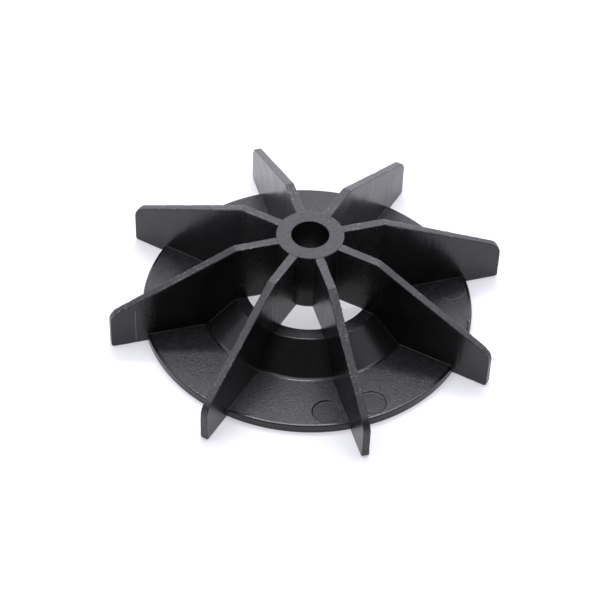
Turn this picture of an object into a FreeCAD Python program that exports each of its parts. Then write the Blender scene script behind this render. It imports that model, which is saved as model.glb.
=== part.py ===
import FreeCAD, Part
import math
import os
import Sketcher
from FreeCAD import Placement, Rotation, Vector

# Radial cooling-fan wheel for a small electric motor, moulded in plastic.
# Frame: millimetres, +Z along the axis of rotation towards the hub's nose,
# origin on the axis at the disc's back face (the plane it lies on).
# The moulding is built from its natural features, each a closed solid of its
# own that meets its neighbours face to face: hub, blades, flat disc, conical
# eye collar and the flat lip round the eye.

# ---------------------------------------------------------------- dimensions
DIMENSIONS = [
    ("disc_radius", 50.0, "outer radius of the flat disc"),
    ("disc_thickness", 2.8, "thickness of the flat disc"),
    ("rim_chamfer", 0.4, "break on the disc's top outer edge"),
    ("collar_foot_radius", 31.8, "radius where the cone wall meets the disc"),
    ("collar_top_radius", 23.3, "radius where the cone wall meets the lip"),
    ("collar_height", 11.0, "height of the lip's top face"),
    ("eye_radius", 19.2, "radius of the air eye"),
    ("shell_wall", 2.6, "wall of the cone and of the lip"),
    ("hub_radius", 10.1, "outer radius of the hub"),
    ("hub_top", 31.2, "height of the hub's nose face"),
    ("hub_foot_height", 10.4, "height of the hub's lower end"),
    ("hub_foot_chamfer", 0.9, "break on the hub's lower outer edge"),
    ("bore_radius", 5.5, "radius of the shaft bore"),
    ("bore_chamfer", 0.4, "lead-in at both ends of the bore"),
    ("blade_count", 8, "number of blades, evenly spaced"),
    ("blade_top", 31.1, "height of the blades' level top edge, a hair below the hub's"),
    ("blade_kink_radius", 22.85, "where the blade's top edge starts to slope"),
    ("blade_tip_radius", 61.0, "radius of the blade's outer edge"),
    ("blade_tip_height", 12.8, "height of the blade's outer edge at the corner"),
    ("blade_foot_height", 0.1, "height of the blade's lower edge beyond the disc"),
    ("blade_root_thickness", 3.1, "blade thickness at the hub"),
    ("blade_tip_thickness", 2.3, "blade thickness at the outer edge"),
    ("blade_corner_radius", 4.7, "radius of the blade's outer top corner"),
    ("blade_foot_radius", 0.8, "radius of the blade's outer bottom corner"),
    ("mark_radius", 4.35, "radius of the round ejector marks"),
    ("mark_depth", 0.35, "depth of the sunk ejector marks"),
    ("mark_height", 0.25, "height of the proud ejector mark"),
    ("mark_pitch_radius", 44.45, "distance of the ejector marks from the axis"),
    ("mark_a_angle", 261.45, "direction of the first sunk ejector mark, degrees"),
    ("mark_b_angle", 279.1, "direction of the second sunk ejector mark, degrees"),
    ("mark_c_angle", 352.1, "direction of the proud ejector mark, degrees"),
    ("rim_mark_radius", 2.9, "radius of the small sunk mark on the disc's rim"),
    ("rim_mark_pitch", 51.2, "distance of the small rim mark from the axis"),
    ("rim_mark_angle", 334.1, "direction of the small rim mark, degrees"),
]

doc = FreeCAD.newDocument("blower_wheel")
sheet = doc.addObject("Spreadsheet::Sheet", "Dimensions")
for row, (alias, number, note) in enumerate(DIMENSIONS, start=1):
    sheet.set("A%d" % row, note)
    sheet.set("B%d" % row, str(number))
    sheet.setAlias("B%d" % row, alias)
doc.recompute()


class Dim:
    """A number together with the sheet expression that gives it."""

    def __init__(self, value, text):
        self.value = float(value)
        self.text = text

    def __add__(self, other):
        other = as_dim(other)
        return Dim(self.value + other.value, "(%s + %s)" % (self.text, other.text))

    def __sub__(self, other):
        other = as_dim(other)
        return Dim(self.value - other.value, "(%s - %s)" % (self.text, other.text))

    def __mul__(self, other):
        other = as_dim(other)
        return Dim(self.value * other.value, "(%s * %s)" % (self.text, other.text))

    def __truediv__(self, other):
        other = as_dim(other)
        return Dim(self.value / other.value, "(%s / %s)" % (self.text, other.text))


def as_dim(x):
    return x if isinstance(x, Dim) else Dim(x, "%.6f" % x)


def cell(alias):
    return Dim(float(sheet.get(alias)), "Dimensions.%s" % alias)


def root(x):
    return Dim(math.sqrt(x.value), "sqrt(%s)" % x.text)


def cosine(x):
    return Dim(math.cos(math.radians(x.value)), "cos(%s * 1 deg)" % x.text)


def sine(x):
    return Dim(math.sin(math.radians(x.value)), "sin(%s * 1 deg)" % x.text)


ZERO = Dim(0.0, "0")

# ------------------------------------------------------------ sketch helpers


def origin_plane(body, role):
    for feature in body.Origin.OriginFeatures:
        if feature.Role == role:
            return feature
    raise RuntimeError("no plane " + role)


def new_sketch(body, name, role, height=None):
    """A sketch on one of the body's own origin planes, raised by height."""
    sk = body.newObject("Sketcher::SketchObject", name)
    sk.AttachmentSupport = [(origin_plane(body, role), "")]
    sk.MapMode = "FlatFace"
    if height is not None:
        sk.AttachmentOffset = Placement(Vector(0, 0, height.value), Rotation())
        sk.setExpression("AttachmentOffset.Base.z", height.text)
    return sk


def pin_point(sk, geo, pos, dim, kind, name):
    """Holds one coordinate of a point at a distance from the sketch's origin."""
    if abs(dim.value) < 1e-9:
        # a zero coordinate puts the point on the other axis
        axis = -2 if kind == "DistanceX" else -1
        sk.addConstraint(Sketcher.Constraint("PointOnObject", geo, pos, axis))
        return
    if dim.value > 0:
        index = sk.addConstraint(Sketcher.Constraint(kind, -1, 1, geo, pos, dim.value))
        text = dim.text
    else:
        index = sk.addConstraint(Sketcher.Constraint(kind, geo, pos, -1, 1, -dim.value))
        text = "-(%s)" % dim.text
    sk.renameConstraint(index, name)
    sk.setExpression("Constraints." + name, text)


def polygon(sk, points):
    """A closed outline through points given as pairs of Dim."""
    n = len(points)
    for i in range(n):
        a, b = points[i], points[(i + 1) % n]
        sk.addGeometry(Part.LineSegment(Vector(a[0].value, a[1].value, 0),
                                        Vector(b[0].value, b[1].value, 0)), False)
    for i in range(n):
        sk.addConstraint(Sketcher.Constraint("Coincident", i, 2, (i + 1) % n, 1))
    for i, (x, y) in enumerate(points):
        pin_point(sk, i, 1, x, "DistanceX", "x%d" % i)
        pin_point(sk, i, 1, y, "DistanceY", "y%d" % i)


def circle(sk, index, x, y, radius):
    geo = sk.addGeometry(Part.Circle(Vector(x.value, y.value, 0), Vector(0, 0, 1), radius.value), False)
    pin_point(sk, geo, 3, x, "DistanceX", "cx%d" % index)
    pin_point(sk, geo, 3, y, "DistanceY", "cy%d" % index)
    c = sk.addConstraint(Sketcher.Constraint("Radius", geo, radius.value))
    sk.renameConstraint(c, "cr%d" % index)
    sk.setExpression("Constraints.cr%d" % index, radius.text)


def new_body(label):
    body = doc.addObject("PartDesign::Body", label)
    body.Label = label
    return body


def revolve(body, name, sk):
    feature = body.newObject("PartDesign::Revolution", name)
    feature.Profile = sk
    feature.ReferenceAxis = (sk, ["V_Axis"])
    feature.Angle = 360.0
    sk.Visibility = False
    doc.recompute()
    body.Tip = feature
    return feature


def must_remove(before, feature, what):
    """A cut that points away from the solid leaves its volume unchanged."""
    after = feature.Shape.Volume
    if not after < before - 1e-3:
        raise RuntimeError("%s removed nothing (%.4f -> %.4f)" % (what, before, after))
    print("  %-24s %10.2f -> %10.2f mm3" % (what, before, after))


def edges_where(shape, test):
    names = ["Edge%d" % (i + 1) for i, e in enumerate(shape.Edges) if test(e)]
    if not names:
        raise RuntimeError("no edge matches")
    return names


# ------------------------------------------------- outlines shared by pieces
disc_r = cell("disc_radius")
disc_t = cell("disc_thickness")
rim_c = cell("rim_chamfer")
foot_r = cell("collar_foot_radius")
top_r = cell("collar_top_radius")
lip_z = cell("collar_height")
eye_r = cell("eye_radius")
wall = cell("shell_wall")
hub_r = cell("hub_radius")
hub_z = cell("hub_top")
hub_f = cell("hub_foot_height")
hub_c = cell("hub_foot_chamfer")

# the cone's inner face runs parallel to its outer face, one wall inside it
run = foot_r - top_r
rise = lip_z - disc_t
wall_across = wall * root(run * run + rise * rise) / rise
cone_inner_foot = foot_r + disc_t * run / rise - wall_across
lip_under = lip_z - wall
cone_inner_at_lip = foot_r - (lip_under - disc_t) * run / rise - wall_across
cone_inner_height = disc_t + (run - wall_across) * rise / run

parts = []

# ------------------------------------------------------------------ rim disc
body = new_body("rim_disc")
sk = new_sketch(body, "rim_disc_section", "XZ_Plane")
polygon(sk, [(foot_r, ZERO), (disc_r, ZERO), (disc_r, disc_t - rim_c), (disc_r - rim_c, disc_t), (foot_r, disc_t)])
ring = revolve(body, "rim_disc_ring", sk)
# two round ejector marks are sunk, with a small one that runs off the rim
sk = new_sketch(body, "sunk_marks", "XY_Plane", disc_t)
pitch = cell("mark_pitch_radius")
for i, alias in enumerate(("mark_a_angle", "mark_b_angle")):
    turn = cell(alias)
    circle(sk, i, pitch * cosine(turn), pitch * sine(turn), cell("mark_radius"))
turn = cell("rim_mark_angle")
circle(sk, 2, cell("rim_mark_pitch") * cosine(turn), cell("rim_mark_pitch") * sine(turn), cell("rim_mark_radius"))
before = ring.Shape.Volume
sunk = body.newObject("PartDesign::Pocket", "ejector_mark_recesses")
sunk.Profile = sk
sunk.Type = "Length"
sunk.Length = cell("mark_depth").value
sunk.setExpression("Length", cell("mark_depth").text)
doc.recompute()
body.Tip = sunk
must_remove(before, sunk, "sunk ejector marks")
# and one stands a little proud
sk = new_sketch(body, "proud_mark", "XY_Plane", disc_t)
turn = cell("mark_c_angle")
circle(sk, 0, pitch * cosine(turn), pitch * sine(turn), cell("mark_radius"))
before = sunk.Shape.Volume
proud = body.newObject("PartDesign::Pad", "ejector_mark_pad")
proud.Profile = sk
proud.Length = cell("mark_height").value
proud.setExpression("Length", cell("mark_height").text)
doc.recompute()
body.Tip = proud
if not proud.Shape.Volume > before + 1.0:
    raise RuntimeError("the proud ejector mark added nothing")
parts.append(body)

# ---------------------------------------------------------------- eye collar
# a conical shell, hollow behind, from the disc's inner edge up to the lip
body = new_body("eye_collar")
sk = new_sketch(body, "eye_collar_section", "XZ_Plane")
polygon(sk, [(cone_inner_foot, ZERO), (foot_r, ZERO), (foot_r, disc_t), (top_r, lip_z), (top_r, cone_inner_height)])
revolve(body, "eye_collar_shell", sk)
parts.append(body)

# ------------------------------------------------------------------- eye lip
body = new_body("eye_lip")
sk = new_sketch(body, "eye_lip_section", "XZ_Plane")
polygon(sk, [(eye_r, lip_under), (cone_inner_at_lip, lip_under), (top_r, cone_inner_height), (top_r, lip_z),
             (eye_r, lip_z)])
revolve(body, "eye_lip_ring", sk)
parts.append(body)

# ----------------------------------------------------------------------- hub
bore_r = cell("bore_radius")
bore_c = cell("bore_chamfer")
body = new_body("hub")
sk = new_sketch(body, "hub_section", "XZ_Plane")
polygon(sk, [(ZERO, hub_f), (hub_r - hub_c, hub_f), (hub_r, hub_f + hub_c), (hub_r, hub_z), (ZERO, hub_z)])
boss = revolve(body, "hub_boss", sk)
sk = new_sketch(body, "bore_circle", "XY_Plane", hub_z)
circle(sk, 0, ZERO, ZERO, bore_r)
bore = body.newObject("PartDesign::Pocket", "shaft_bore")
bore.Profile = sk
bore.Type = "ThroughAll"
before = boss.Shape.Volume
doc.recompute()
body.Tip = bore
must_remove(before, bore, "shaft bore")
chamfer = body.newObject("PartDesign::Chamfer", "bore_lead_ins")
chamfer.Base = (bore, edges_where(bore.Shape, lambda e: isinstance(e.Curve, Part.Circle)
                                  and abs(e.Curve.Radius - bore_r.value) < 1e-6))
chamfer.Size = bore_c.value
chamfer.setExpression("Size", bore_c.text)
before = bore.Shape.Volume
doc.recompute()
body.Tip = chamfer
must_remove(before, chamfer, "bore lead-ins")
parts.append(body)

# -------------------------------------------------------------------- blades
tip_r = cell("blade_tip_radius")
tip_z = cell("blade_tip_height")
kink_r = cell("blade_kink_radius")
foot_z = cell("blade_foot_height")
blade_z = cell("blade_top")
half_root = cell("blade_root_thickness") / 2.0
half_tip = cell("blade_tip_thickness") / 2.0
count = int(round(cell("blade_count").value))
# the plan taper is drawn from the hub's face to the tip
inner = hub_r - 3.0
half_inner = half_root + (half_root - half_tip) * 3.0 / (tip_r - hub_r)
past = tip_r + 2.0
# the slope of the top edge, carried on past the tip
past_z = tip_z - (blade_z - tip_z) * 2.0 / (tip_r - kink_r)
above = hub_z + 2.0
below = ZERO - 1.0

for k in range(count):
    name = "blade_%d" % (k + 1)
    body = new_body(name)
    # plan view: straight, thinning a little towards the tip
    sk = new_sketch(body, name + "_plan", "XY_Plane")
    polygon(sk, [(inner, ZERO - half_inner), (tip_r, ZERO - half_tip), (tip_r, half_tip), (inner, half_inner)])
    slab = body.newObject("PartDesign::Pad", name + "_slab")
    slab.Profile = sk
    slab.Length = blade_z.value
    slab.setExpression("Length", blade_z.text)
    doc.recompute()
    body.Tip = slab
    # side view: level over the hub and the eye, then sloping down to the tip
    sk = new_sketch(body, name + "_slope", "XZ_Plane")
    polygon(sk, [(kink_r, blade_z), (past, past_z), (past, above), (kink_r, above)])
    slope = body.newObject("PartDesign::Pocket", name + "_top_slope")
    slope.Profile = sk
    slope.Type = "ThroughAll"
    slope.SideType = "Symmetric"
    before = slab.Shape.Volume
    doc.recompute()
    body.Tip = slope
    must_remove(before, slope, name + " top slope")
    # underside: follows the hub, the lip, the cone, the disc and its rim
    sk = new_sketch(body, name + "_seat", "XZ_Plane")
    polygon(sk, [(ZERO, below), (past, below), (past, foot_z), (disc_r, foot_z), (disc_r, disc_t - rim_c),
                 (disc_r - rim_c, disc_t), (foot_r, disc_t), (top_r, lip_z), (hub_r - hub_c + lip_z - hub_f, lip_z),
                 (hub_r, hub_f + hub_c), (hub_r, above), (ZERO, above)])
    seat = body.newObject("PartDesign::Groove", name + "_seat_cut")
    seat.Profile = sk
    seat.ReferenceAxis = (sk, ["V_Axis"])
    seat.Angle = 360.0
    before = slope.Shape.Volume
    doc.recompute()
    body.Tip = seat
    must_remove(before, seat, name + " seat")

    # outer corners of the blade
    def corner(z):
        return lambda e: (abs(e.Length - 2 * half_tip.value) < 0.05
                          and all(abs(v.Point.x - tip_r.value) < 1e-3 and abs(v.Point.z - z) < 1e-3
                                  for v in e.Vertexes))
    round_top = body.newObject("PartDesign::Fillet", name + "_top_corner")
    round_top.Base = (seat, edges_where(seat.Shape, corner(tip_z.value)))
    round_top.Radius = cell("blade_corner_radius").value
    round_top.setExpression("Radius", cell("blade_corner_radius").text)
    before = seat.Shape.Volume
    doc.recompute()
    body.Tip = round_top
    must_remove(before, round_top, name + " top corner")
    round_foot = body.newObject("PartDesign::Fillet", name + "_foot_corner")
    round_foot.Base = (round_top, edges_where(round_top.Shape, corner(foot_z.value)))
    round_foot.Radius = cell("blade_foot_radius").value
    round_foot.setExpression("Radius", cell("blade_foot_radius").text)
    before = round_top.Shape.Volume
    doc.recompute()
    body.Tip = round_foot
    must_remove(before, round_foot, name + " foot corner")
    # each blade is the first one turned about the axis
    body.Placement = Placement(Vector(0, 0, 0), Rotation(Vector(0, 0, 1), 360.0 / count * k))
    if k:
        body.setExpression("Placement.Rotation.Angle", "360 deg / Dimensions.blade_count * %d" % k)
    doc.recompute()
    parts.append(body)

# --------------------------------------------------------- checks and export
doc.recompute()
for obj in doc.Objects:
    if "Invalid" in obj.State or "Error" in obj.State:
        raise RuntimeError("%s is %s" % (obj.Name, obj.State))
os.makedirs("parts", exist_ok=True)
total = 0.0
for body in parts:
    shape = body.Shape
    if shape.isNull() or not shape.isValid() or len(shape.Solids) != 1:
        raise RuntimeError("%s has a bad shape" % body.Label)
    total += shape.Volume
for body in parts:
    shape = body.Shape
    shape.exportStep(os.path.join("parts", body.Label + ".step"))
    b = shape.BoundBox
    print("%-12s vol %9.2f  x %7.2f %7.2f  y %7.2f %7.2f  z %6.2f %6.2f" % (
        body.Label, shape.Volume, b.XMin, b.XMax, b.YMin, b.YMax, b.ZMin, b.ZMax))
print("total volume %.2f mm3" % total)
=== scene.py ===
import math
import random

import bmesh
import bpy
from mathutils import Matrix, Vector, noise
from mathutils.geometry import delaunay_2d_cdt, tessellate_polygon


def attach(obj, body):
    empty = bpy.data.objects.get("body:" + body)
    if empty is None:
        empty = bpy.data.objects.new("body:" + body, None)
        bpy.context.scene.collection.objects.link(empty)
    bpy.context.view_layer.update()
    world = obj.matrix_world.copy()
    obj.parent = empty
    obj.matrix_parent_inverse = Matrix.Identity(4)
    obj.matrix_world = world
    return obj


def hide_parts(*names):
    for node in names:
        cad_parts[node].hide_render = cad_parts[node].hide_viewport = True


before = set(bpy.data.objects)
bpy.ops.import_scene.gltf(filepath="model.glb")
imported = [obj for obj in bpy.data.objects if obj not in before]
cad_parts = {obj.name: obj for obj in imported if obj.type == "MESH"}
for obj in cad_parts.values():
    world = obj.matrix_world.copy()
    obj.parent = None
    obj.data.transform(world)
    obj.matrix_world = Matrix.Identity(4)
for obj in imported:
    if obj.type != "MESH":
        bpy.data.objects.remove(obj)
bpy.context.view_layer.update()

scene = bpy.context.scene
MM = 0.001

# --------------------------------------------------------------------------
# Sizes in millimetres, the same as the design's. r is the distance from the
# wheel's axis and z the height above the disc's back face.
DISC_R, DISC_T = 50.0, 2.8
FOOT_R, TOP_R, LIP_Z, EYE_R, WALL = 31.8, 23.3, 11.0, 19.2, 2.6
HUB_R, HUB_Z, HUB_FOOT, BORE_R = 10.1, 31.2, 10.4, 5.5
BLADE_Z, KINK_R, TIP_R, TIP_Z, FOOT_Z = 31.1, 22.85, 61.0, 12.8, 0.1
ROOT_HALF, TIP_HALF = 1.55, 1.15

RISE, RUN = LIP_Z - DISC_T, FOOT_R - TOP_R
ACROSS = WALL * math.hypot(RISE, RUN) / RISE          # the cone's wall, measured along r
CONE_IN_FOOT = FOOT_R + DISC_T * RUN / RISE - ACROSS  # the cone's inner face at z = 0
LIP_UNDER = LIP_Z - WALL


def cone_inner_r(z):
    return FOOT_R - (z - DISC_T) * RUN / RISE - ACROSS


# --------------------------------------------------------------------------
# The camera stands in front of the wheel, 46 degrees above it. STAND turns
# directions given as seen from the camera (x right, y away) into the row frame.
STAND = math.radians(-17.435)


def stand(x, y, z=0.0):
    c, s = math.cos(STAND), math.sin(STAND)
    return Vector((x * c - y * s, x * s + y * c, z))


def make_camera():
    elevation, roll = math.radians(45.958), math.radians(2.284)
    right0 = stand(1, 0)
    forward = stand(0, math.cos(elevation), -math.sin(elevation))
    down0 = forward.cross(right0)
    right = right0 * math.cos(roll) - down0 * math.sin(roll)
    down = right0 * math.sin(roll) + down0 * math.cos(roll)
    place = -(right * 0.001047 + down * (-0.000723) + forward * 0.64765) + Vector((0, 0, 0.0028))
    data = bpy.data.cameras.new("camera")
    data.sensor_width = 36.0
    data.lens = 2130.65 * 36.0 / 608.0
    data.clip_start, data.clip_end = 0.01, 50.0
    cam = bpy.data.objects.new("camera", data)
    cam.matrix_world = Matrix((
        (right.x, -down.x, -forward.x, place.x),
        (right.y, -down.y, -forward.y, place.y),
        (right.z, -down.z, -forward.z, place.z),
        (0, 0, 0, 1)))
    scene.collection.objects.link(cam)
    scene.camera = cam


make_camera()

# --------------------------------------------------------------------------
# Small tools for outlines and meshes


def arc(cx, cz, radius, start, end, steps):
    """Points on a circle, angles in degrees, both ends included."""
    return [(cx + radius * math.cos(math.radians(start + (end - start) * i / steps)),
             cz + radius * math.sin(math.radians(start + (end - start) * i / steps))) for i in range(steps + 1)]


def rounded(corners):
    """A closed outline from corners (r, z, radius, steps); each radius is tangent to both of its sides."""
    out, n = [], len(corners)
    for i, (x, z, radius, steps) in enumerate(corners):
        if radius <= 0:
            out.append((x, z))
            continue
        px, pz = corners[i - 1][:2]
        qx, qz = corners[(i + 1) % n][:2]
        a = Vector((px - x, pz - z)).normalized()
        b = Vector((qx - x, qz - z)).normalized()
        half = math.acos(max(-1.0, min(1.0, a.dot(b)))) / 2
        back = radius / math.tan(half)
        centre = Vector((x, z)) + (a + b).normalized() * (radius / math.sin(half))
        p0 = Vector((x, z)) + a * back
        p1 = Vector((x, z)) + b * back
        v0, v1 = p0 - centre, p1 - centre
        turn = math.atan2(v0.x * v1.y - v0.y * v1.x, v0.dot(v1))
        for k in range(steps + 1):
            t = turn * k / steps
            c, s = math.cos(t), math.sin(t)
            out.append((centre.x + v0.x * c - v0.y * s, centre.y + v0.x * s + v0.y * c))
    return out


def supported(points, gap=0.25, closed=True):
    """The outline with a point close to each end of its long straight sides, so that shading stays flat on them."""
    out, n = [], len(points)
    for i in range(n if closed else n - 1):
        a, b = Vector(points[i]), Vector(points[(i + 1) % n])
        out.append(tuple(a))
        length = (b - a).length
        if length > 3 * gap:
            out.append(tuple(a.lerp(b, gap / length)))
            out.append(tuple(a.lerp(b, 1 - gap / length)))
    if not closed:
        out.append(tuple(points[-1]))
    return out


def new_object(name, verts, faces, material, sharp=38.0, wear_and_highlight=None, eroded=None):
    """A closed mesh from points in millimetres, with its normals outward and its real edges kept crisp."""
    mesh = bpy.data.meshes.new(name)
    mesh.from_pydata([(x * MM, y * MM, z * MM) for x, y, z in verts], [], faces)
    mesh.validate()
    built = bmesh.new()
    built.from_mesh(mesh)
    bmesh.ops.recalc_face_normals(built, faces=built.faces)
    built.to_mesh(mesh)
    built.free()
    volume = 0.0
    for p in mesh.polygons:
        c = [mesh.vertices[v].co for v in p.vertices]
        for i in range(1, len(c) - 1):
            volume += c[0].dot(c[i].cross(c[i + 1]))
    if volume < 0:
        mesh.flip_normals()
    mesh.polygons.foreach_set("use_smooth", [True] * len(mesh.polygons))
    mesh.set_sharp_from_angle(angle=math.radians(sharp))
    mesh.materials.append(material)
    for label, values in (("wear_and_highlight", wear_and_highlight), ("eroded", eroded)):
        layer = mesh.attributes.new(label, "FLOAT", "POINT")
        layer.data.foreach_set("value", values or [0.0] * len(mesh.vertices))
    mesh.update()
    obj = bpy.data.objects.new(name, mesh)
    scene.collection.objects.link(obj)
    return obj


def lathe(outline, angles, move=None):
    """Verts and faces of a closed outline turned about the axis. move may shift a point: move(r, z, angle) -> (r, z)."""
    n = len(outline)
    verts, faces = [], []
    for a in angles:
        c, s = math.cos(a), math.sin(a)
        for r, z in outline:
            if move:
                r, z = move(r, z, a)
            verts.append((r * c, r * s, z))
    m = len(angles)
    for i in range(m):
        k = (i + 1) % m
        for j in range(n):
            l = (j + 1) % n
            faces.append((i * n + j, k * n + j, k * n + l, i * n + l))
    return verts, faces


def evenly(count):
    return [2 * math.pi * i / count for i in range(count)]


ROUND = 480

# --------------------------------------------------------------------------
# Materials: one black moulded plastic, with a fine uneven grain where the tool
# was spark-eroded, and draw lines down the blades


def plastic(name, rough, grain, mottle, streak=0.0, shows_wear_and_highlight=False):
    """Near-black plastic. rough, grain (height of the relief in millimetres) and mottle (unevenness of tone) are pairs,
    for the polished and for the spark-eroded skin, and the mesh's "eroded" attribute goes from the first to the second.
    streak is the height of the draw lines. The last flag reads the attribute that marks scuffed edges, and also a
    painted highlight: a lighter line of colour along blade_5's witness line."""
    mat = bpy.data.materials.new(name)
    mat.use_nodes = True
    nodes, links = mat.node_tree.nodes, mat.node_tree.links
    nodes.clear()
    out = nodes.new("ShaderNodeOutputMaterial")
    bsdf = nodes.new("ShaderNodeBsdfPrincipled")
    bsdf.inputs["IOR"].default_value = 1.5
    bsdf.inputs["Metallic"].default_value = 0.0
    links.new(bsdf.outputs["BSDF"], out.inputs["Surface"])
    coord = nodes.new("ShaderNodeTexCoord")

    def noise_node(scale, detail, rough, source=None):
        n = nodes.new("ShaderNodeTexNoise")
        n.inputs["Scale"].default_value = scale
        n.inputs["Detail"].default_value = detail
        n.inputs["Roughness"].default_value = rough
        links.new(source or coord.outputs["Object"], n.inputs["Vector"])
        return n.outputs["Fac"]

    def ramp(source, low, high, at_low=0.3, at_high=0.7):
        n = nodes.new("ShaderNodeMapRange")
        n.inputs["From Min"].default_value = at_low
        n.inputs["From Max"].default_value = at_high
        n.inputs["To Min"].default_value = low
        n.inputs["To Max"].default_value = high
        links.new(source, n.inputs["Value"])
        return n.outputs["Result"]

    def math_node(kind, a, b):
        n = nodes.new("ShaderNodeMath")
        n.operation = kind
        for k, v in ((0, a), (1, b)):
            if isinstance(v, float):
                n.inputs[k].default_value = v
            else:
                links.new(v, n.inputs[k])
        return n.outputs["Value"]

    def colour_mix(factor, a, b):
        n = nodes.new("ShaderNodeMix")
        n.data_type = "RGBA"
        links.new(factor, n.inputs["Factor"])
        for socket, v in ((n.inputs["A"], a), (n.inputs["B"], b)):
            if isinstance(v, tuple):
                socket.default_value = (*v, 1)
            else:
                links.new(v, socket)
        return n.outputs["Result"]

    fine = noise_node(2300.0, 1.0, 0.5)
    coarse = noise_node(1150.0, 2.0, 0.6)
    broad = noise_node(140.0, 2.0, 0.5)
    speck = noise_node(1250.0, 2.5, 0.7)
    skin = nodes.new("ShaderNodeAttribute")
    skin.attribute_name = "eroded"

    def between(pair):
        return ramp(skin.outputs["Fac"], pair[0], pair[1], 0.0, 1.0)

    tone = math_node("ADD", math_node("MULTIPLY", ramp(speck, 0.0, 1.0, 0.41, 0.68), between(mottle)),
                     math_node("MULTIPLY", ramp(broad, 0.0, 1.0), 0.2))
    colour = colour_mix(tone, (0.0028, 0.0028, 0.0030), (0.0260, 0.0257, 0.0268))
    gloss = math_node("ADD", between(rough), ramp(broad, -0.015, 0.015))
    rough_out = math_node("ADD", gloss, ramp(fine, -0.02, 0.02))
    relief = math_node("ADD", math_node("MULTIPLY", fine, 0.8 * MM), math_node("MULTIPLY", coarse, 0.45 * MM))
    height = math_node("MULTIPLY", relief, between(grain))
    if shows_wear_and_highlight:
        mark = nodes.new("ShaderNodeAttribute")
        mark.attribute_name = "wear_and_highlight"
        stretch = ramp(noise_node(95.0, 2.0, 0.5), 0.05, 1.0, 0.44, 0.60)
        patchy = math_node("MULTIPLY", ramp(noise_node(1500.0, 2.0, 0.6), 0.0, 1.0, 0.53, 0.68), stretch)
        wear_and_highlight = math_node("MULTIPLY", mark.outputs["Fac"], patchy)
        # scuffs stay at 1 or under; the witness line is marked higher, and its lighter colour all along it is a painted
        # highlight
        wear_and_highlight = math_node("MAXIMUM", wear_and_highlight, ramp(mark.outputs["Fac"], 0.0, 0.55, 2.0, 5.0))
        # lighter colour where the edges are scuffed, and the painted highlight along the witness line
        colour = colour_mix(wear_and_highlight, colour, (0.165, 0.158, 0.149))
    if streak:
        squeeze = nodes.new("ShaderNodeMapping")
        squeeze.inputs["Scale"].default_value = (1.0, 1.0, 0.03)
        links.new(coord.outputs["Object"], squeeze.inputs["Vector"])
        lines = noise_node(900.0, 3.0, 0.7, squeeze.outputs["Vector"])
        where = ramp(noise_node(90.0, 1.0, 0.5), 0.15, 1.0, 0.42, 0.62)
        left = ramp(skin.outputs["Fac"], 1.0, 0.15, 0.0, 0.6)
        drag = math_node("MULTIPLY", math_node("MULTIPLY", lines, where), math_node("MULTIPLY", left, streak * MM))
        height = math_node("ADD", height, drag)
    links.new(colour, bsdf.inputs["Base Color"])
    links.new(rough_out, bsdf.inputs["Roughness"])
    bump = nodes.new("ShaderNodeBump")
    bump.inputs["Strength"].default_value = 1.0
    bump.inputs["Distance"].default_value = 1.0
    links.new(height, bump.inputs["Height"])
    links.new(bump.outputs["Normal"], bsdf.inputs["Normal"])
    return mat


grained = plastic("moulded_black_grained", (0.20, 0.34), (0.010, 0.070), (0.15, 0.95))
smooth = plastic("moulded_black_smooth", (0.21, 0.34), (0.034, 0.110), (0.30, 0.65))
drawn = plastic("moulded_black_drawn", (0.23, 0.33), (0.012, 0.105), (0.08, 1.00), streak=0.110, shows_wear_and_highlight=True)
nose = plastic("moulded_black_nose", (0.24, 0.33), (0.010, 0.260), (0.05, 1.0))

# --------------------------------------------------------------------------
# Pieces


def mount(obj, node):
    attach(obj, "root")
    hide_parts(node)
    return obj


# flat disc: a turned ring whose top face holds the ejector marks
# the rim rolls off gently through ROLL degrees from ROLL_R, and then turns down in a tight corner
ROLL_R, ROLL_END, ROLL = 49.20, 49.72, 14.0
MARKS = [  # x, y, radius, depth (sunk is positive), tilt of the floor, direction of its deep side in degrees
    (44.45 * math.cos(math.radians(261.45)), 44.45 * math.sin(math.radians(261.45)), 4.30, 0.36, 0.16, 110.0),
    (44.45 * math.cos(math.radians(279.10)), 44.45 * math.sin(math.radians(279.10)), 4.30, 0.30, 0.10, 80.0),
    (44.45 * math.cos(math.radians(352.10)), 44.45 * math.sin(math.radians(352.10)), 4.30, -0.24, 0.05, 250.0),
]
RIM_MARK = (51.2 * math.cos(math.radians(334.1)), 51.2 * math.sin(math.radians(334.1)), 2.9, 0.3)


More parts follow.
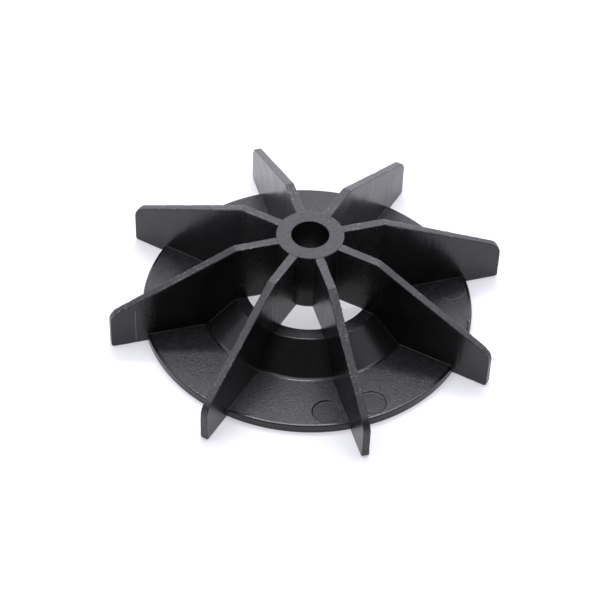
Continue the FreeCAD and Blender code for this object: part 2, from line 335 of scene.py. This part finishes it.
def disc_mesh():
    lean = math.radians(ROLL)
    big = (ROLL_END - ROLL_R) / math.sin(lean)
    tight = (DISC_R - ROLL_END) / (1 - math.sin(lean))
    rim = arc(ROLL_R, DISC_T - big, big, 90, 90 - ROLL, 6)
    rim += arc(DISC_R - tight, rim[-1][1] - tight * math.cos(lean), tight, 90 - ROLL, 0, 6)[1:]
    foot = arc(DISC_R - 0.25, 0.25, 0.25, 0, -90, 4)
    side = [(FOOT_R, DISC_T), (FOOT_R, 0.0)]
    # from the top face's outer edge, down the rim, under the disc, up to the top face's inner edge
    outline = [rim[0], *rim[1:], *foot]
    outline = supported(outline + [side[1], side[0]], 0.3, closed=False)
    n = len(outline)
    mx, my, mr, md = RIM_MARK
    floor_z = DISC_T - md
    verts, faces = [], []
    for a in evenly(ROUND):
        c, s = math.cos(a), math.sin(a)
        for j, (r, z) in enumerate(outline):
            x, y = r * c, r * s
            if j < 14 and math.hypot(x - mx, y - my) < mr:
                z = min(z, floor_z)
            verts.append((x, y, z))
    for i in range(ROUND):
        k = (i + 1) % ROUND
        for j in range(n - 1):
            faces.append((i * n + j, k * n + j, k * n + j + 1, i * n + j + 1))
    top = [i * n for i in range(ROUND)]               # outer edge of the top face
    inner = [i * n + n - 1 for i in range(ROUND)]     # inner edge of the top face

    def add(x, y, z):
        verts.append((x, y, z))
        return len(verts) - 1

    def strip(a, b):
        for i in range(len(a)):
            k = (i + 1) % len(a)
            faces.append((a[i], a[k], b[k], b[i]))

    # a support ring just inside the rim's rounding, bent round the rim mark
    inside = [math.hypot(verts[v][0] - mx, verts[v][1] - my) < mr for v in top]
    ring_r = ROLL_R - 0.12
    start = next(i for i in range(ROUND) if inside[i] and not inside[i - 1])
    count = 0
    while inside[(start + count) % ROUND]:
        count += 1
    order = [(start - 1 + i) % ROUND for i in range(ROUND)]   # begins at the last point before the mark
    before, after = order[0], order[count + 1]
    ring = {}
    for i in order[count + 1:] + [order[0]]:
        a = 2 * math.pi * i / ROUND
        ring[i] = add(ring_r * math.cos(a), ring_r * math.sin(a), DISC_T)
    run = order[count + 1:] + [order[0]]
    for i, k in zip(run[:-1], run[1:]):
        faces.append((top[i], top[k], ring[k], ring[i]))
    # the mark's own arc, from the ring point before it to the ring point after it
    p0, p1 = verts[top[before]], verts[top[after]]
    a0 = math.atan2(p0[1] - my, p0[0] - mx)
    a1 = math.atan2(p1[1] - my, p1[0] - mx)
    while a1 > a0:
        a1 -= 2 * math.pi
    steps = 40
    levels = [(0.14, 0.0), (0.04, 0.03), (0.0, 0.10), (-0.03, md - 0.06), (-0.12, md)]
    arcs = []
    for grow, drop in levels:
        pts = []
        for i in range(1, steps):
            a = a0 + (a1 - a0) * i / steps
            pts.append(add(mx + (mr + grow) * math.cos(a), my + (mr + grow) * math.sin(a), DISC_T - drop))
        arcs.append([top[before]] + pts + [top[after]])
    for u, v in zip(arcs[:-1], arcs[1:]):
        for i in range(steps):
            if i == 0:
                faces.append((u[0], u[1], v[1]))
            elif i == steps - 1:
                faces.append((u[i], u[i + 1], v[i]))
            else:
                faces.append((u[i], u[i + 1], v[i + 1], v[i]))
    rim_part = [top[i] for i in order[1:count + 1]]
    faces.append(tuple([top[before]] + rim_part + list(reversed(arcs[-1][1:]))))

    # the round marks: an edge with a small radius, a short wall and a fillet at its foot
    hole_rims = []
    for cx, cy, radius, depth, tilt, deep in MARKS:
        sign = 1 if depth > 0 else -1
        section = [(0.20, 0.0), (0.10, 0.0), (0.05, 0.08), (0.0, 0.24), (-0.02, 0.70), (-0.10, 0.92), (-0.24, 1.0),
                   (-0.5, 1.0)]
        rings = []
        for grow, share in section:
            g = radius + (grow if sign > 0 else grow + 0.1)
            loop = []
            for i in range(96):
                a = 2 * math.pi * i / 96
                lean = tilt * math.cos(a - math.radians(deep)) * (g / radius)
                d = (abs(depth) + lean) * share
                loop.append(add(cx + g * math.cos(a), cy + g * math.sin(a), DISC_T - sign * d))
            rings.append(loop)
        for u, v in zip(rings[:-1], rings[1:]):
            strip(u, v)
        faces.append(tuple(rings[-1]))
        hole_rims.append(rings[0])
    # what is left of the top face is flat
    outer = [ring[i] for i in run] + [arcs[0][0]] + arcs[0][1:-1] + [arcs[0][-1]]
    loops = [outer, list(reversed(inner)), *[list(reversed(h)) for h in hole_rims]]
    flat = [[Vector((verts[v][0], verts[v][1], 0)) for v in loop] for loop in loops]
    index = [v for loop in loops for v in loop]
    for t in tessellate_polygon(flat):
        faces.append(tuple(index[i] for i in t))
    return verts, faces, set(arcs[0])


verts, faces, mark_edge = disc_mesh()
# the top face is eroded, the rim is polished
eroded = [1.0 if i in mark_edge else max(0.0, min(1.0, (ROLL_R - math.hypot(x, y)) / 0.1))
          for i, (x, y, z) in enumerate(verts)]
disc = mount(new_object("rim_disc_moulding", verts, faces, grained, eroded=eroded), "rim_disc")
# a crease where the flat face meets the rim mark, so that the flat face shades flat right up to it
for edge in disc.data.edges:
    if edge.vertices[0] in mark_edge and edge.vertices[1] in mark_edge:
        edge.use_edge_sharp = True

# conical collar: fillet at its foot on the disc, rounded shoulder up to the lip
slope = math.atan2(RISE, RUN)
FOOT_FILLET, SHOULDER = 2.0, 0.7
foot_back = FOOT_FILLET * math.tan(slope / 2)
shoulder_back = SHOULDER * math.tan(slope / 2)
LIP_EDGE = TOP_R - shoulder_back
foot_arc = arc(FOOT_R + foot_back, DISC_T + FOOT_FILLET, FOOT_FILLET, -90, -90 - math.degrees(slope), 8)
shoulder_arc = arc(LIP_EDGE, LIP_Z - SHOULDER, SHOULDER, 90 - math.degrees(slope), 90, 8)
collar_outline = (foot_arc + shoulder_arc
                  + [(LIP_EDGE, DISC_T - (LIP_EDGE - FOOT_R + ACROSS) * RISE / RUN)]
                  + rounded([(LIP_EDGE, 9.0, 0, 0), (CONE_IN_FOOT, 0.0, 0.35, 4), (FOOT_R, 0.0, 0, 0)])[1:]
                  + [(FOOT_R, 2.5), (FOOT_R + foot_back, 2.5)])
verts, faces = lathe(supported(collar_outline, 0.3), evenly(ROUND))
collar = mount(new_object("eye_collar_moulding", verts, faces, smooth), "eye_collar")

# lip: the flat ring round the eye
lip_outline = rounded([
    (EYE_R, LIP_UNDER, 0.3, 4), (cone_inner_r(LIP_UNDER), LIP_UNDER, 0, 0),
    (LIP_EDGE, DISC_T - (LIP_EDGE - FOOT_R + ACROSS) * RISE / RUN, 0, 0), (LIP_EDGE, LIP_Z, 0, 0), (EYE_R, LIP_Z, 0.35, 5)])
verts, faces = lathe(supported(lip_outline, 0.25), evenly(ROUND))
eroded = [1.0 if z > LIP_Z - 0.01 else 0.0 for x, y, z in verts]
lip = mount(new_object("eye_lip_moulding", verts, faces, grained, eroded=eroded), "eye_lip")

# hub: softened nose edge, rounded bore mouth, faint weld line across the nose face
WELD = math.radians(157.2)
hub_outline = rounded([
    (BORE_R, HUB_FOOT, 0.4, 5), (HUB_R, HUB_FOOT, 1.3, 10), (HUB_R, HUB_Z, 0.16, 4), (BORE_R, HUB_Z, 0.36, 6)])
hub_outline = supported(hub_outline, 0.2)
steps = []
for i, (r, z) in enumerate(hub_outline):     # a few more rings on the nose face, for the weld line
    steps.append((r, z))
    q = hub_outline[(i + 1) % len(hub_outline)]
    if abs(z - HUB_Z) < 1e-6 and abs(q[1] - HUB_Z) < 1e-6 and abs(r - q[0]) > 1.0:
        for k in range(1, 9):
            steps.append((r + (q[0] - r) * k / 9, z))
hub_angles = sorted(set([round(a, 9) for a in evenly(288)]
                        + [round(WELD + math.radians(d * 0.35), 9) for d in range(-10, 11)]))


def weld(r, z, a):
    if z > HUB_Z - 0.2 and r > BORE_R + 0.2:
        off = r * math.sin(a - WELD) if math.cos(a - WELD) > 0 else 9.0
        z -= 0.018 * math.exp(-(off / 0.25) ** 2) * min(1.0, (r - BORE_R) / 3.0)
    return r, min(z, HUB_Z)


verts, faces = lathe(steps, hub_angles, weld)
eroded = [1.0 if z > HUB_Z - 0.1 else 0.0 for x, y, z in verts]
hub = mount(new_object("hub_moulding", verts, faces, nose, eroded=eroded), "hub")

# --------------------------------------------------------------------------
# Blades. The outline in (r, z) runs clockwise from the hub along the top edge.
# Free edges are rounded over; edges that grow out of the hub, disc, cone or
# lip flare out in a small root fillet and reach a little way into them.
EDGE, ROOT = 0.27, 0.12


def blade_outline():
    corners = [
        (HUB_R, BLADE_Z, 0, 0), (KINK_R, BLADE_Z, 0.7, 4), (TIP_R, TIP_Z, 4.7, 18), (TIP_R, FOOT_Z, 0.9, 6),
        (DISC_R, FOOT_Z, 0, 0), (DISC_R, DISC_T, 0.35, 3), (FOOT_R, DISC_T, 0, 0), (TOP_R, LIP_Z, 0, 0),
        (EYE_R, LIP_Z, 0, 0), (HUB_R, LIP_Z, 0.0, 0)]
    points = rounded(corners)
    # samples along each side, closer together near its ends
    near = [0.04, 0.10, 0.18, 0.28, 0.42, 0.6, 0.85]
    dense = []
    n = len(points)
    for i in range(n):
        a, b = Vector(points[i]), Vector(points[(i + 1) % n])
        dense.append((a.x, a.y))
        length = (b - a).length
        if length > 2.4:
            at = list(near)
            s = near[-1]
            middle = int(round((length - 2 * s) / 0.42))
            at += [s + (length - 2 * s) * k / middle for k in range(1, middle)]
            at += [length - d for d in reversed(near)]
            dense += [tuple(a.lerp(b, t / length)) for t in at]
        elif length > 0.9:
            m = int(length / 0.4) + 1
            dense += [tuple(a.lerp(b, k / m)) for k in range(1, m)]
    return dense


def distance(p, a, b):
    ab, ap = b - a, p - a
    t = max(0.0, min(1.0, ap.dot(ab) / ab.length_squared))
    return (ap - ab * t).length


def lines_of(points):
    """The outline's free stretches and its rooted stretches, as lists of segments."""
    free, rooted = [], []
    n = len(points)
    for i in range(n):
        a, b = Vector(points[i]), Vector(points[(i + 1) % n])
        m = (a + b) / 2
        on_hub = abs(m.x - HUB_R) < 0.02
        on_top = m.y > 12.5 and not on_hub
        on_disc = m.x < DISC_R + 0.01 and m.y < LIP_Z - 0.01 and not on_hub
        on_lip = abs(m.y - LIP_Z) < 0.01 and EYE_R < m.x < TOP_R + 0.01
        (rooted if (on_hub or on_disc or on_lip) and not on_top else free).append((a, b))
    return free, rooted


def nearest(p, segments, reach):
    best = reach
    for a, b in segments:
        if min(a.x, b.x) - best > p.x or max(a.x, b.x) + best < p.x:
            continue
        if min(a.y, b.y) - best > p.y or max(a.y, b.y) + best < p.y:
            continue
        best = min(best, distance(p, a, b))
    return best


def within(x, z, ring):
    odd = False
    for (ax, az), (bx, bz) in zip(ring, ring[1:] + ring[:1]):
        if (az > z) != (bz > z) and x < ax + (bx - ax) * (z - az) / (bz - az):
            odd = not odd
    return odd


def crossing(a, b, c, d):
    """Where two short lines cross, or None."""
    u, v, w = b - a, d - c, c - a
    den = u.x * v.y - u.y * v.x
    if abs(den) < 1e-12:
        return None
    s, t = (w.x * v.y - w.y * v.x) / den, (w.x * u.y - w.y * u.x) / den
    return a + u * s if 0 <= s <= 1 and 0 <= t <= 1 else None


def unfolded(ring):
    """A closed line with its small folds taken out: the points of a fold are spread along the way round it."""
    pts = [Vector(p) for p in ring]
    n = len(pts)
    for span in range(24, 1, -1):
        for i in range(n):
            j = (i + span) % n
            a, d = pts[i], pts[(j + 1) % n]
            x = crossing(a, pts[(i + 1) % n], pts[j], d)
            if x is None:
                continue
            middle = span // 2
            for m in range(span):
                if m < middle:
                    q = a + (x - a) * ((m + 1) / (middle + 1))
                else:
                    q = x + (d - x) * ((m - middle) / (span - middle))
                pts[(i + 1 + m) % n] = q
    return [(p.x, p.y) for p in pts]


FILLS = {}


def filling(ring, box):
    """Fills the inside of a blade's face with points about a millimetre apart, leaving an optional box open. Gives
    the new points, and triangles that count through the ring, the box and the new points in that order."""
    key = box is not None
    if key in FILLS:
        return FILLS[key]
    edge = [(Vector(a), Vector(b)) for a, b in zip(ring, ring[1:] + ring[:1])]
    fresh = []
    row, z = 0, 0.5
    while z < BLADE_Z:
        x = HUB_R + (0.5 if row % 2 else 0.0)
        while x < TIP_R:
            free_of_box = box is None or not (box[0][0] - 0.6 < x < box[2][0] + 0.6 and box[0][1] - 0.6 < z < box[2][1] + 0.6)
            if free_of_box and within(x, z, ring) and nearest(Vector((x, z)), edge, 0.6) > 0.55:
                fresh.append((x, z))
            x += 1.0
        z += 0.87
        row += 1
    held = ring + (box or [])
    points = [Vector(p) for p in held + fresh]
    n = len(ring)
    lines = [(n + i, n + (i + 1) % 4) for i in range(4)] if box else []
    found, _, triangles, origin, _, _ = delaunay_2d_cdt(points, lines, [list(range(n))], 1, 1e-6)
    if any(not o for o in origin):
        raise RuntimeError("the blade's face gained a point that isn't its own")
    out = []
    for t in triangles:
        mx, mz = sum(found[i][0] for i in t) / 3, sum(found[i][1] for i in t) / 3
        if box and box[0][0] < mx < box[2][0] and box[0][1] < mz < box[2][1]:
            continue
        out.append(tuple(origin[i][0] for i in t))
    FILLS[key] = (fresh, out)
    return FILLS[key]


def blade_mesh(number):
    seed = 17.0 * number
    loop = [Vector(p) for p in blade_outline()]
    area = sum(a.x * b.y - a.y * b.x for a, b in zip(loop, loop[1:] + loop[:1]))
    free, rooted = lines_of([tuple(p) for p in loop])
    n = len(loop)
    inward = []
    for i in range(n):
        a, p, b = loop[i - 1], loop[i], loop[(i + 1) % n]
        u, v = (p - a).normalized(), (b - p).normalized()
        n1, n2 = Vector((-u.y, u.x)), Vector((-v.y, v.x))
        if area < 0:
            n1, n2 = -n1, -n2
        m = (n1 + n2) / (1 + max(-0.5, n1.dot(n2)))
        inward.append(m)
    offsets = [0.0, 0.03, 0.08, 0.15, 0.24, 0.34, 0.45, 0.56]

    rng = random.Random(4100 + number)
    # small burrs and dents along both long edges of the top
    nicks = [(rng.uniform(11.5, 60.0), rng.choice((1, -1)), rng.uniform(0.18, 0.6), rng.choice((0.14, -0.10, -0.2, 0.1)))
             for _ in range(26)]

    def flat_at(p, side):
        """Half the blade's thickness away from its edges: a straight taper and draft, very slightly wavy."""
        base = ROOT_HALF + (TIP_HALF - ROOT_HALF) * (p.x - HUB_R) / (TIP_R - HUB_R) + 0.004 * (5.0 - p.y)
        base += 0.055 * noise.noise(Vector((p.x * 0.10, p.y * 0.10, seed + 40 + 7 * side)))
        return base + 0.012 * noise.noise(Vector((p.x * 0.30, p.y * 0.26, seed + 60 + 7 * side)))

    def skin_at(p, side):
        """The blades are rough near the hub, and so is a band next to blade_5's witness line."""
        blur = 1.6 * noise.noise(Vector((p.x * 0.35, p.y * 0.35, seed + 80 + side)))
        rough_skin = max(0.0, min(1.0, (23.5 + blur - p.x) / 4.0))
        if (number, side) == (5, 1):
            rough_skin = max(rough_skin, min(1.0, max(0.0, min(p.x - 47.0 + blur, 2 * (53.2 - p.x)))))
        return 0.6 * rough_skin

    def half_at(p, side):
        base = flat_at(p, side)
        df = nearest(p, free, 1.0)
        dr = nearest(p, rooted, 1.0)
        wander = (noise.noise(Vector((p.x * 0.45, p.y * 0.45, seed + side)))
                  + 0.7 * noise.noise(Vector((p.x * 1.7, p.y * 1.7, seed + 5 + side))))
        edge = EDGE * (1 + 0.5 * wander)
        w = base
        if dr < ROOT:
            w += ROOT - math.sqrt(max(0.0, ROOT * ROOT - (ROOT - dr) ** 2))
        if df < edge:
            w -= edge - math.sqrt(max(0.0, edge * edge - (edge - df) ** 2))
        if df < 0.44 and p.y > TIP_Z - 1.0:
            fade = (1 - df / 0.44) ** 2
            w += 0.06 * fade * noise.noise(Vector((p.x * 1.1, p.y * 0.3, seed + 9 * side)))
            for r0, on, size, deep in nicks:
                if on == side and abs(p.x - r0) < 3 * size:
                    w += deep * fade * math.exp(-((p.x - r0) / size) ** 2)
        return w

    def wear_at(p):
        df = nearest(p, free, 1.0)
        if p.y < TIP_Z - 3.0:
            return 0.25 * math.exp(-(df / 0.15) ** 2)
        return math.exp(-(df / 0.2) ** 2)

    is_root = [nearest(p, rooted, 0.02) < 0.015 for p in loop]
    place = [unfolded([p + m * d for p, m in zip(loop, inward)]) for d in offsets]
    # below the roots the blade goes on a little way into its neighbour
    sunk = []
    for p, m, rooted_here in zip(loop, inward, is_root):
        q = p - m * (0.3 if rooted_here else 0.0)
        sunk.append((q.x, max(FOOT_Z, min(q.y, BLADE_Z))))
    place.insert(0, sunk)
    verts, faces, wear_and_highlight, eroded = [], [], [], []
    turn = math.radians(45.0 * (number - 1))
    c, s = math.cos(turn), math.sin(turn)

    def add(r, z, y, scuff_and_highlight, rough_skin):
        x = math.sqrt(max(0.0, r * r - y * y))
        verts.append((x * c - y * s, x * s + y * c, z))
        wear_and_highlight.append(scuff_and_highlight)
        eroded.append(rough_skin)

    halves = {}
    for side in (1, -1):
        for level, ring in enumerate(place):
            for i, (r, z) in enumerate(ring):
                p = loop[i] if level == 0 else Vector((r, z))
                w = half_at(p, side)
                if level == 0 and not is_root[i]:
                    w *= 0.8
                halves[side, level, i] = w
                bare = max(skin_at(p, side), 1 - nearest(p, free, 1.0) / 0.3, 0.35 * (1 - nearest(p, rooted, 1.0) / 0.3))
                add(r, z, side * w, 0.0 if is_root[i] else wear_at(p), bare)
    count = len(place)
    for side in range(2):
        base = side * count * n
        for j in range(count - 1):
            for i in range(n):
                k = (i + 1) % n
                quad = (base + j * n + i, base + j * n + k, base + (j + 1) * n + k, base + (j + 1) * n + i)
                faces.append(quad if side == 0 else quad[::-1])
        last = base + (count - 1) * n
        way = 1 if side == 0 else -1
        sign = way
        index = list(range(last, last + n))
        box = None
        if (number, side) == (5, 0):
            # a faint upright witness line near this blade's end, a low bead with sloping sides; a painted highlight,
            # lighter colour set in the material, runs along its top
            beads = []
            for half, lift in ((0.60, 0.0), (0.38, 0.0), (0.22, 0.05), (0.12, 0.06)):
                corners = [(53.5 - half, 1.6 - half), (53.5 + half, 1.6 - half), (53.5 + half, 13.6 + half),
                           (53.5 - half, 13.6 + half)]
                start = len(verts)
                for r, z in corners:
                    # the marks 5.0 and 2.0 are read by the material as the witness line's painted highlight
                    add(r, z, half_at(Vector((r, z)), 1) + lift, (5.0 if lift == 0.06 else 2.0) if lift else 0.0, 0.0)
                beads.append((corners, list(range(start, start + 4))))
            turn_way = way if area > 0 else -way
            for (_, u), (_, v) in zip(beads[:-1], beads[1:]):
                for i in range(4):
                    faces.append((u[i], u[(i + 1) % 4], v[(i + 1) % 4], v[i])[::turn_way])
            faces.append(tuple(beads[-1][1])[::turn_way])
            box = beads[0][0]
            index += beads[0][1]
        fresh, triangles = filling(place[-1], box)
        where = place[-1] + (box or []) + fresh
        for r, z in fresh:
            p = Vector((r, z))
            index.append(len(verts))
            add(r, z, sign * flat_at(p, sign), 0.0, skin_at(p, sign))
        for t in triangles:
            tri = tuple(index[i] for i in t)
            (ax, az), (bx, bz), (dx, dz) = (where[i] for i in t)
            if ((bx - ax) * (dz - az) - (bz - az) * (dx - ax)) * area < 0:
                tri = tri[::-1]
            faces.append(tri[::way])
    # across the blade's thickness, with a few lines of points in between
    columns = [list(range(n))]
    for share in (0.12, 0.3, 0.5, 0.7, 0.88):
        start = len(verts)
        for i in range(n):
            r, z = place[0][i]
            w = halves[1, 0, i] * (1 - share) - halves[-1, 0, i] * share
            middle = 1 - abs(share - 0.5) / 0.5
            add(r, z, w, 0.0 if is_root[i] else wear_and_highlight[i] * (0.8 - 0.7 * middle), 1.0)
        columns.append(list(range(start, start + n)))
    columns.append(list(range(count * n, count * n + n)))
    for u, v in zip(columns[:-1], columns[1:]):
        for i in range(n):
            k = (i + 1) % n
            faces.append((u[k], u[i], v[i], v[k]))
    return verts, faces, wear_and_highlight, eroded


for number in range(1, 9):
    verts, faces, wear_and_highlight, eroded = blade_mesh(number)
    mount(new_object("blade_%d_moulding" % number, verts, faces, drawn, 40.0, wear_and_highlight, eroded), "blade_%d" % number)

# --------------------------------------------------------------------------
# Floor and light: a plain white bench in a light tent that is open towards the camera


def bench():
    """A plain white bench, lit from within like a light table: the same all over, and seen the same by everything."""
    mesh = bpy.data.meshes.new("bench")
    z = -0.00003
    mesh.from_pydata([(-3, -3, z), (3, -3, z), (3, 3, z), (-3, 3, z)], [], [(0, 1, 2, 3)])
    mat = bpy.data.materials.new("bench_white")
    mat.use_nodes = True
    bsdf = mat.node_tree.nodes["Principled BSDF"]
    bsdf.inputs["Base Color"].default_value = (BENCH_ALBEDO, BENCH_ALBEDO, 1.03 * BENCH_ALBEDO, 1)
    bsdf.inputs["Roughness"].default_value = 1.0
    bsdf.inputs["Specular IOR Level"].default_value = 0.0
    bsdf.inputs["Emission Color"].default_value = (0.975, 0.975, 1.0, 1)
    bsdf.inputs["Emission Strength"].default_value = BENCH_GLOW
    mesh.materials.append(mat)
    obj = bpy.data.objects.new("bench", mesh)
    scene.collection.objects.link(obj)


BENCH_ALBEDO, BENCH_GLOW = 0.55, 0.42
bench()


def panel(name, centre, aim, width, height, radiance):
    """An area light of a given radiance, placed in the camera's directions."""
    data = bpy.data.lights.new(name, "AREA")
    data.shape = "RECTANGLE"
    data.size, data.size_y = width, height
    data.energy = radiance * math.pi * width * height
    data.color = (0.982, 0.975, 1.075)
    obj = bpy.data.objects.new(name, data)
    obj.location = stand(*centre)
    obj.rotation_mode = "QUATERNION"
    way = stand(*aim) - obj.location
    obj.rotation_quaternion = way.to_track_quat("-Z", "Y")
    scene.collection.objects.link(obj)
    return obj


# a long, narrow lamp above and behind the wheel throws the blades' shadows towards the camera
lamp = math.radians(65.6)
panel("strip_lamp", (-0.023, 0.95 * math.cos(lamp), 0.95 * math.sin(lamp)), (0.0, 0.0, 0.0), 0.42, 0.08, 24.0)
panel("overhead", (0.0, 0.12, 0.99), (0.0, 0.12, 0.0), 2.4, 0.85, 2.2)
panel("back_upper", (0.0, 0.73, 0.99), (0.0, 0.73, 0.0), 2.4, 0.36, 1.1)
panel("back_top", (0.0, 1.205, 0.99), (0.0, 1.1, 0.0), 2.4, 0.58, 2.2)
panel("back", (0.0, 1.65, 0.48), (0.0, 0.0, 0.25), 2.6, 0.9, 1.8)
panel("left", (-1.3, 0.1, 0.6), (0.0, 0.1, 0.35), 2.4, 1.2, 0.85)
panel("right", (1.3, 0.1, 0.6), (0.0, 0.1, 0.35), 2.4, 1.2, 0.85)

world = bpy.data.worlds.new("room")
world.use_nodes = True
world.node_tree.nodes["Background"].inputs["Color"].default_value = (1, 1, 1, 1)
world.node_tree.nodes["Background"].inputs["Strength"].default_value = 0.12
scene.world = world
scene.view_settings.view_transform = "Standard"
scene.view_settings.look = "None"
scene.view_settings.exposure = 0.0
scene.view_settings.gamma = 1.0
